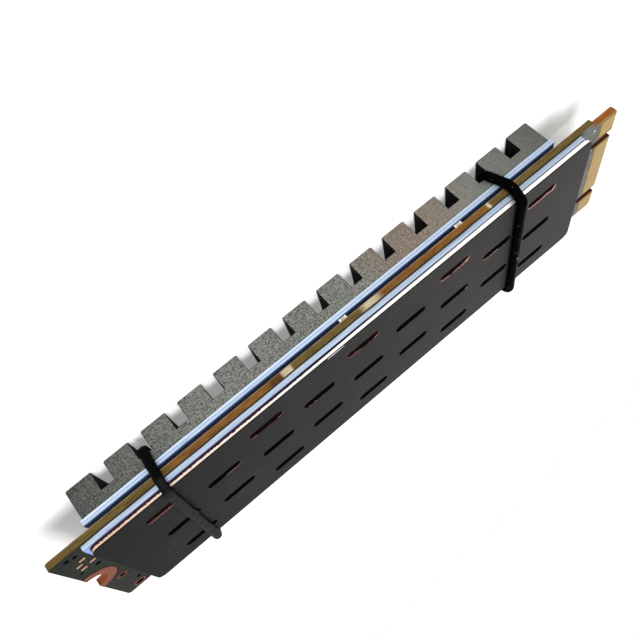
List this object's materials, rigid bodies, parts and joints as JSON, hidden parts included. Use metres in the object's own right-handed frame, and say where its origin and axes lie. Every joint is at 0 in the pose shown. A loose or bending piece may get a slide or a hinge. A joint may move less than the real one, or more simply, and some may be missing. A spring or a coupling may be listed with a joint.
{
  "type": "solid state drive with clamp-on heat sink",
  "caption": "Stick-shaped solid state drive held between a finned heat sink and a slotted back plate by rubber bands, with soft thermal pads on both faces.",
  "frame": {"origin": "on the standing plane, under the middle of the circuit board", "axes": "+X towards the screw notch, -X towards the contact edge, +Y across the board away from the pictured long side, +Z from the fin tips to the slotted plate"},
  "size_m": [0.08, 0.0246, 0.0084],
  "materials": {
    "black_aluminium": "black anodised, fine machined grain on the sides",
    "thermal_pad": "soft silicone, slightly glossy where cut",
    "board": "dark green solder mask, yellow-brown glass fibre at the edges",
    "gold": "bare gold plating",
    "chip_package": "matt black moulded resin",
    "plated_steel": "plain plated can",
    "inductor_body": "dark grey moulded powder",
    "capacitor_ceramic": "tan ceramic with tinned ends",
    "resistor_body": "black film on white ceramic, tinned ends",
    "coated_copper": "satin dark coating, bare bright copper at the cut edges",
    "band_rubber": "smooth black silicone rubber"
  },
  "bodies": {
    "root": {"finned_heat_sink": "black_aluminium", "sink_thermal_pad": "thermal_pad", "circuit_board": "board", "contact_fingers_sink_side": "gold", "contact_fingers_plate_side": "gold", "screw_notch_plating": "gold", "service_pads": "gold", "controller_chip": "chip_package", "cache_memory_chip": "chip_package", "flash_memory_chip_1": "chip_package", "flash_memory_chip_2": "chip_package", "power_chip": "chip_package", "firmware_chip": "chip_package", "crystal_oscillator": "plated_steel", "power_inductors": "inductor_body", "bulk_capacitors": "capacitor_ceramic", "ceramic_capacitors": "capacitor_ceramic", "chip_resistors": "resistor_body", "switch_transistors": "chip_package", "plate_thermal_pad": "thermal_pad", "slotted_back_plate": "coated_copper", "band_by_screw_notch": "band_rubber", "band_by_contacts": "band_rubber"}
  },
  "joints": []
}
